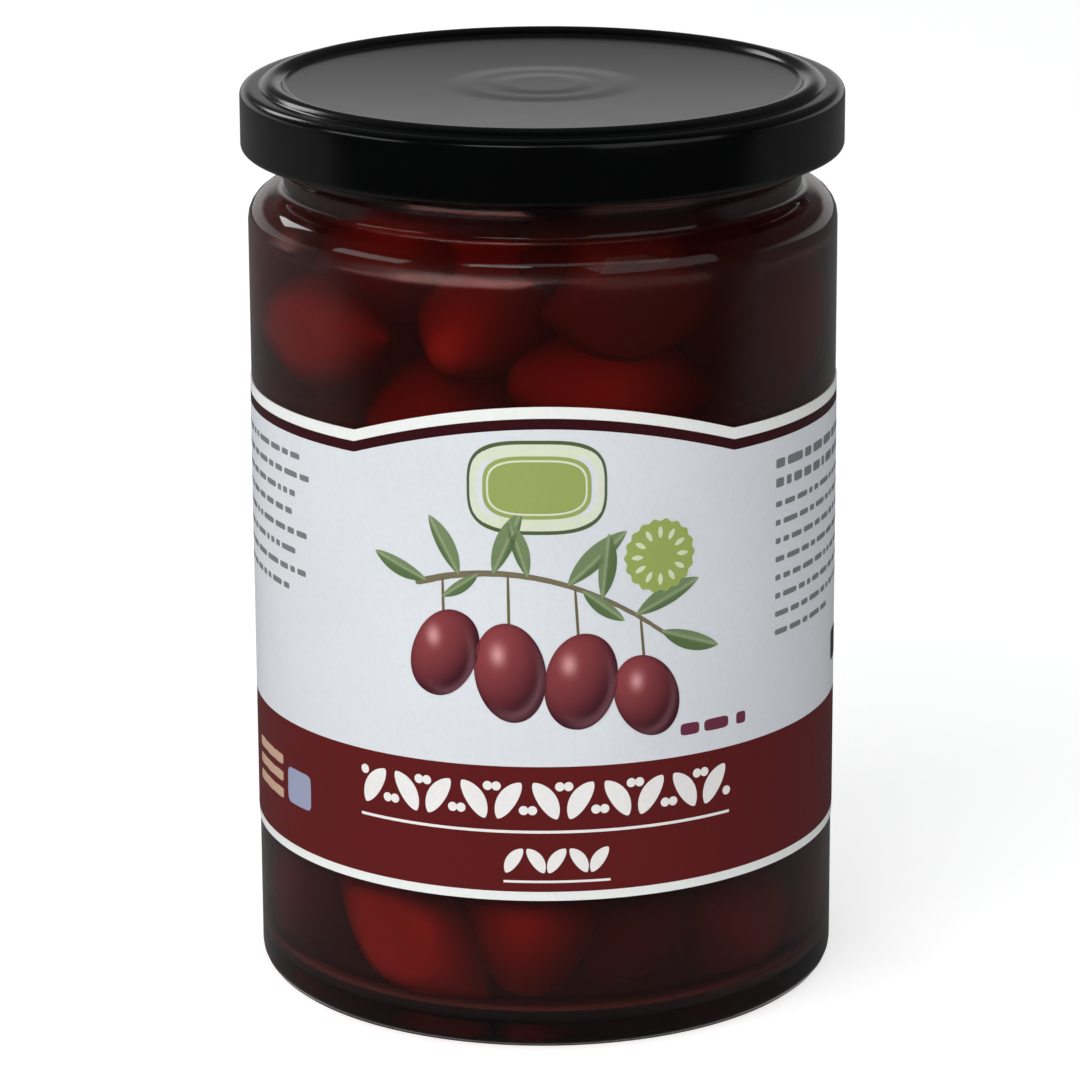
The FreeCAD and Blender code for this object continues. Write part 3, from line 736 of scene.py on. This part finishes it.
# ---- The title band's ornament ------------------------------------------------------
# White print on the maroon band where a name would stand: a row of leaves and berries
# between the plain ends, a thin line under it, and a shorter row with its own line.
white_ink = printed("white_ink", (0.86, 0.84, 0.82))
row_left, row_right = -37.8 * per_degree, 37.6 * per_degree
row_low, row_high = 29.6 * mm, 35.6 * mm
bays = 11
bay = (row_right - row_left) / bays
bay_middle = row_left + bay * (np.arange(bays) + 0.5)
row_middle = (row_low + row_high) / 2
lean_sign = np.where(np.arange(bays) % 2, -1.0, 1.0)
big_leaves = shapes("title_leaves", bay_middle, row_middle - 0.3 * mm, 5.4 * mm, 2.3 * mm,
                    turn=90 - 32 * lean_sign, point=1.35, bow=0.12 * lean_sign, layer=3, around=40)
on_label(big_leaves, white_ink)
berries = shapes("title_berries", np.concatenate([bay_middle + 1.75 * mm, bay_middle - 1.55 * mm]),
                 np.concatenate([row_middle - 1.5 * mm * lean_sign, row_middle + 1.5 * mm * lean_sign]),
                 1.15 * mm, 1.15 * mm, layer=3, around=24)
on_label(berries, white_ink)
title_line = strip("title_line", row_left / paper_radius, row_right / paper_radius,
                   level(28.2 * mm), level(28.55 * mm), glue_radius, paper_radius + 3 * film)
on_label(title_line, white_ink)
short_left, short_right = -8.1 * per_degree, 12.3 * per_degree
short_middle = short_left + (short_right - short_left) * (np.arange(5) + 0.5) / 5
short_sign = np.where(np.arange(5) % 2, -1.0, 1.0)
small_leaves = shapes("short_leaves", short_middle, 24.7 * mm, 3.7 * mm, 1.6 * mm,
                      turn=90 - 34 * short_sign, point=1.35, bow=0.12 * short_sign, layer=3, around=32)
on_label(small_leaves, white_ink)
short_line = strip("short_line", short_left / paper_radius, short_right / paper_radius,
                   level(21.9 * mm), level(22.2 * mm), glue_radius, paper_radius + 3 * film)
on_label(short_line, white_ink)

# ---- The small print ----------------------------------------------------------------
# Where a label carries its fine print there are only ragged grey dashes, and small plain
# colour blocks stand at the left end of the band.
def dash_rows(start, end, heights, thick, seed, fill):
    """Dashes in rows: lengths and gaps are drawn at random along each row, and a row ends
    where its dashes reach a ragged share of the width."""
    draw = np.random.default_rng(seed)
    most, gap = 60, 0.6
    long = draw.uniform(0.9, 3.6, (len(heights), most))
    left = np.cumsum(long + gap, axis=1) - long - gap
    limit = (end - start) / mm * draw.uniform(fill, 1.0, len(heights))[:, None]
    keep = left + long < limit
    row = np.repeat(np.asarray(heights)[:, None], most, axis=1)
    return start / mm + (left + long / 2)[keep], row[keep], long[keep], np.full(keep.sum(), thick)


grey_ink = printed("grey_ink", (0.20, 0.21, 0.215))
# each block: its two ends in degrees from the front, the height of its top row, the step
# between rows, the number of rows, the dashes' thickness, the seed, and the least share of
# the width that a row fills
print_blocks = [(-108, -48.5, 71.0, 2.42, 8, 0.75, 5, 0.86), (50, 112, 70.4, 2.42, 2, 1.15, 8, 0.86),
                (50, 112, 65.3, 2.30, 8, 0.70, 11, 0.45), (118, 160, 70.5, 2.20, 13, 0.70, 14, 0.86),
                (-160, -116, 70.5, 2.20, 11, 0.70, 17, 0.86)]
rows = [dash_rows(start * per_degree, end * per_degree, top - step * np.arange(count), thick, seed, fill)
        for start, end, top, step, count, thick, seed, fill in print_blocks]
dash_x, dash_y, dash_long, dash_thick = [np.concatenate(column) for column in zip(*rows)]
dashes = shapes("small_print", dash_x * mm, dash_y * mm, dash_long * mm, dash_thick * mm,
                square=0.3, layer=2, rings=3, around=16)
on_label(dashes, grey_ink)
weight_marks = shapes("weight_marks", np.array([28.5, 34.5, 40.5]) * per_degree, 39.9 * mm,
                      np.array([2.6, 3.6, 1.5]) * mm, 1.5 * mm, square=0.45, layer=2, rings=3, around=24)
on_label(weight_marks, printed("weight_ink", (0.16, 0.03, 0.06)))
tan_bars = shapes("tan_bars", -70 * per_degree, np.array([26.6, 28.8, 31.0]) * mm, 9.0 * mm, 1.3 * mm,
                  square=0.2, layer=3, rings=8, around=32)
on_label(tan_bars, printed("tan_ink", (0.58, 0.38, 0.27)))
blue_block = shapes("blue_block", -56.5 * per_degree, 28.4 * mm, 5.4 * mm, 4.6 * mm,
                    square=0.3, layer=3, rings=6, around=32)
on_label(blue_block, printed("blue_ink", (0.33, 0.36, 0.50)))
dark_block = shapes("dark_block", 81.5 * per_degree, 42.6 * mm, 4.4 * mm, 4.0 * mm,
                    square=0.3, layer=3, rings=6, around=32)
on_label(dark_block, printed("dark_ink", (0.03, 0.03, 0.03)))

# ---- The lid ------------------------------------------------------------------------
# A twist-off cap of tinplate, lacquered black: a raised bead round a slightly sunken
# panel, a safety button in the middle, a rolled hem and four lugs bent in under it.
lid_low, lid_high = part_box("lid")
lid_radius = (lid_high[0] - lid_low[0]) / 2
lid_top = lid_high[2]
panel_top = lid_top - 0.8 * mm
sheet = 0.4 * mm
hem_bottom = lid_low[2]
hem_inside = lid_radius - 1.6 * mm
dish = 0.40 * mm
button_rise, step_rise = 0.11 * mm, 0.065 * mm
bead_radius = 33.1 * mm
bead_half_width = 1.5 * mm
bead_arc = 1.806 * mm
bead_inside, bead_outside = bead_radius - bead_half_width, bead_radius + 1.6 * mm

# the button in two low steps and the panel, then the bead, then the skirt, hem and inside
button = rounded(np.array([(0, panel_top + button_rise), (4.6 * mm, panel_top + button_rise),
                           (6.6 * mm, panel_top + step_rise), (8.8 * mm, panel_top + step_rise),
                           (11.6 * mm, panel_top), (bead_inside - 0.6 * mm, panel_top)]),
                 np.array([6.0, 6.0, 7.0, 7.0]) * mm, 6)
bead_angle = np.linspace(-1, 1, 15)[:, None] * math.asin(bead_half_width / bead_arc)
bead = np.concatenate([bead_radius + bead_arc * np.sin(bead_angle),
                       lid_top - bead_arc * (1 - np.cos(bead_angle))], 1)
skirt = rounded(np.array([(bead_outside, panel_top), (lid_radius, panel_top), (lid_radius, hem_bottom),
                          (hem_inside, hem_bottom), (hem_inside, hem_bottom + 1.2 * mm),
                          (lid_radius - sheet, hem_bottom + 2.0 * mm),
                          (lid_radius - sheet, panel_top - sheet), (0, panel_top - sheet)]),
                np.array([1.1, 0.79, 0.79, 0.3, 0.3, 0.7]) * mm, 9)
lid_line = finely_spaced(np.concatenate([button, bead, skirt]), 2.0 * mm)
# inside the bead the panel is dished: a parabola, deepest in the middle
in_panel = lid_line[:, 0] < bead_inside
lid_line[:, 1] -= dish * in_panel * (1 - (lid_line[:, 0] / bead_inside) ** 2)
lid = turned("lid", lid_line, 288, sharp=60)

lacquer, nodes, links, output = new_material("black_lacquer")
shader = nodes.new("ShaderNodeBsdfPrincipled")
shader.inputs["Base Color"].default_value = (0.0014, 0.0016, 0.0017, 1)
shader.inputs["IOR"].default_value = 1.5
wear = object_noise(nodes, links, 70.0, 4.0)
rough = nodes.new("ShaderNodeMapRange")
rough.inputs["To Min"].default_value = 0.14
rough.inputs["To Max"].default_value = 0.19
links.new(wear.outputs["Fac"], rough.inputs["Value"])
links.new(rough.outputs["Result"], shader.inputs["Roughness"])
bumped(nodes, links, shader, object_noise(nodes, links, 420.0, 2.0), 0.05, 0.05 * mm)
links.new(shader.outputs[0], output.inputs["Surface"])
lid.data.materials.append(lacquer)
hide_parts("lid")
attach(lid, "root")

# four lugs, each a bar with rounded corners along an arc of 16 degrees, full in the middle
# and drawn to nothing at its ends
lug_middle, lug_reach = 34.8 * mm, 1.5 * mm
lug_level, lug_thick = 105.95 * mm, 0.62 * mm
lug_way = np.linspace(-1, 1, 15)[None, :, None]
lug_round = (np.arange(16) * 2 * math.pi / 16)[None, None]
lug_full = np.sqrt(np.clip(1 - lug_way ** 4, 0, 1))
lug_out, lug_up = np.cos(lug_round), np.sin(lug_round)
lug_radius = lug_middle + lug_reach * lug_full * np.sign(lug_out) * np.abs(lug_out) ** 0.5
lug_height = lug_level + lug_thick * lug_full * np.sign(lug_up) * np.abs(lug_up) ** 0.5
lug_turn = (np.arange(4) * math.pi / 2)[:, None, None] + lug_way * math.radians(8) + 0 * lug_height
lugs = skinned("lid_lugs", np.stack([lug_radius * np.sin(lug_turn), -lug_radius * np.cos(lug_turn),
                                     lug_height + 0 * lug_turn], -1))
lugs.data.materials.append(lacquer)
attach(lugs, "root")

# ---- The room -----------------------------------------------------------------------
# A white table in a pale room. A large soft lamp stands to the left of the viewer, a weaker
# one to the right, a small one behind on the left and a long strip overhead. Two more
# lamps give only glints.
table_half, table_top = 1.6, -0.05 * mm
table_corners = [(-table_half, -table_half, table_top), (table_half, -table_half, table_top),
                 (table_half, table_half, table_top), (-table_half, table_half, table_top)]
table_mesh = bpy.data.meshes.new("table")
table_mesh.from_pydata(table_corners, [], [(0, 1, 2, 3)])
table = bpy.data.objects.new("table", table_mesh)
bpy.context.scene.collection.objects.link(table)


def fading(nodes, links, source, start, end, first, last):
    """A value that runs in a smooth S from the first to the last, as the source's own value
    runs from the start to the end."""
    fade = nodes.new("ShaderNodeMapRange")
    fade.interpolation_type = "SMOOTHSTEP"
    for socket, value in zip(("From Min", "From Max", "To Min", "To Max"), (start, end, first, last)):
        fade.inputs[socket].default_value = value
    links.new(source, fade.inputs["Value"])
    return fade.outputs["Result"]


table_white, nodes, links, output = new_material("table_white")
diffuse = nodes.new("ShaderNodeBsdfDiffuse")
speck = object_noise(nodes, links, 6.0, 2.0)
ramp = nodes.new("ShaderNodeValToRGB")
ramp.color_ramp.elements[0].color = (0.72, 0.72, 0.72, 1)
ramp.color_ramp.elements[1].color = (0.76, 0.76, 0.76, 1)
links.new(speck.outputs["Fac"], ramp.inputs["Fac"])
links.new(ramp.outputs["Color"], diffuse.inputs["Color"])
glow = nodes.new("ShaderNodeEmission")
glow.inputs["Strength"].default_value = 0.55
lift = nodes.new("ShaderNodeAddShader")
seen = nodes.new("ShaderNodeLightPath")
links.new(diffuse.outputs[0], lift.inputs[0])
links.new(glow.outputs[0], lift.inputs[1])
shown = chosen(nodes, links, seen.outputs["Is Camera Ray"], diffuse.outputs[0], lift.outputs[0])
# in gloss the table is pale behind the jar and falls off to a dim room on the viewer's side
place = nodes.new("ShaderNodeTexCoord")
split = nodes.new("ShaderNodeSeparateXYZ")
links.new(place.outputs["Object"], split.inputs[0])
dim = nodes.new("ShaderNodeBsdfDiffuse")
links.new(fading(nodes, links, split.outputs["Y"], -0.17, 0.02, 0.012, 0.19), dim.inputs["Color"])
mirrored = chosen(nodes, links, seen.outputs["Is Glossy Ray"], shown, dim.outputs[0])
links.new(mirrored, output.inputs["Surface"])
table_mesh.materials.append(table_white)

world = bpy.data.worlds.new("room")
bpy.context.scene.world = world
world.use_nodes = True
nodes, links = world.node_tree.nodes, world.node_tree.links
nodes.clear()
output = nodes.new("ShaderNodeOutputWorld")
room = nodes.new("ShaderNodeBackground")
room.inputs["Color"].default_value = (0.97, 0.98, 1.0, 1)
room.inputs["Strength"].default_value = 0.42
backdrop = nodes.new("ShaderNodeBackground")
backdrop.inputs["Color"].default_value = (1, 1, 1, 1)
backdrop.inputs["Strength"].default_value = 1.0
seen = nodes.new("ShaderNodeLightPath")
direct = nodes.new("ShaderNodeMath")
direct.operation = "MAXIMUM"
links.new(seen.outputs["Is Camera Ray"], direct.inputs[0])
links.new(seen.outputs["Is Transmission Ray"], direct.inputs[1])
pick = chosen(nodes, links, direct.outputs[0], room.outputs[0], backdrop.outputs[0])
# what gloss sees: the pale backdrop behind the jar, brightest low down, and a dim room
# on the viewer's side
direction = nodes.new("ShaderNodeTexCoord")
split = nodes.new("ShaderNodeSeparateXYZ")
links.new(direction.outputs["Generated"], split.inputs[0])
strength = nodes.new("ShaderNodeMath")
strength.operation = "MULTIPLY"
links.new(fading(nodes, links, split.outputs["Z"], 0.15, 0.25, 0.73, 0.08), strength.inputs[0])
links.new(fading(nodes, links, split.outputs["Y"], -0.2, 0.6, 0.020, 1.0), strength.inputs[1])
sheen_sky = nodes.new("ShaderNodeBackground")
links.new(strength.outputs[0], sheen_sky.inputs["Strength"])
gloss = chosen(nodes, links, seen.outputs["Is Glossy Ray"], pick, sheen_sky.outputs[0])
links.new(gloss, output.inputs["Surface"])


def soft_lamp(name, place, aim, wide, tall, power, lights=True, glints=True):
    """A rectangular lamp that faces its aim: its own backward axis points away from it. A
    lamp may give only even light, or only a glint in glass and lacquer."""
    data = bpy.data.lights.new(name, "AREA")
    data.shape = "RECTANGLE"
    data.size, data.size_y, data.energy = wide, tall, power
    lamp = bpy.data.objects.new(name, data)
    back = unit(np.array(place, float) - np.array(aim, float))
    right = unit(np.cross([0, 0, 1.0], back))
    up = np.cross(back, right)
    lamp.matrix_world = Matrix([[right[i], up[i], back[i], place[i]] for i in range(3)] + [[0, 0, 0, 1]])
    lamp.visible_diffuse, lamp.visible_glossy = lights, glints
    bpy.context.scene.collection.objects.link(lamp)


middle = (0, 0, 60 * mm)
soft_lamp("key_lamp", (-0.62, -0.86, 0.72), middle, 1.2, 0.8, 10.2, glints=False)
soft_lamp("fill_lamp", (0.80, -0.80, 0.45), middle, 1.1, 0.8, 1.4)
soft_lamp("rim_lamp", (-0.56, 0.70, 0.64), middle, 0.30, 0.26, 0.9)
soft_lamp("strip_lamp", (0.16, -0.86, 0.92), middle, 1.7, 0.25, 0.9)
soft_lamp("left_glint", (-1.05, -0.30, 0.62), middle, 0.7, 0.30, 1.0, lights=False)
soft_lamp("front_glint", (-0.30, -0.92, 0.80), middle, 0.45, 0.16, 0.5, lights=False)

# ---- The viewer ---------------------------------------------------------------------
# A long lens a little above the jar, almost level, turned a hair about its own axis.
aim = np.array([-0.54, 0, 54.3]) * mm
away = 618.6 * mm
rise = math.radians(16.16)
roll = math.radians(-0.28)
back = np.array([0, -math.cos(rise), math.sin(rise)])
right = np.array([1.0, 0, 0])
up = np.array([0, math.sin(rise), math.cos(rise)])
level_right = math.cos(roll) * right + math.sin(roll) * up
level_up = -math.sin(roll) * right + math.cos(roll) * up
stand = aim + away * back
lens = bpy.data.cameras.new("viewer")
lens.lens = 164.3
lens.sensor_width = 36.0
lens.clip_start, lens.clip_end = 0.01, 20.0
viewer = bpy.data.objects.new("viewer", lens)
viewer.matrix_world = Matrix([[level_right[i], level_up[i], back[i], stand[i]] for i in range(3)]
                             + [[0, 0, 0, 1]])
bpy.context.scene.collection.objects.link(viewer)
bpy.context.scene.camera = viewer
bpy.context.scene.view_settings.view_transform = "Standard"
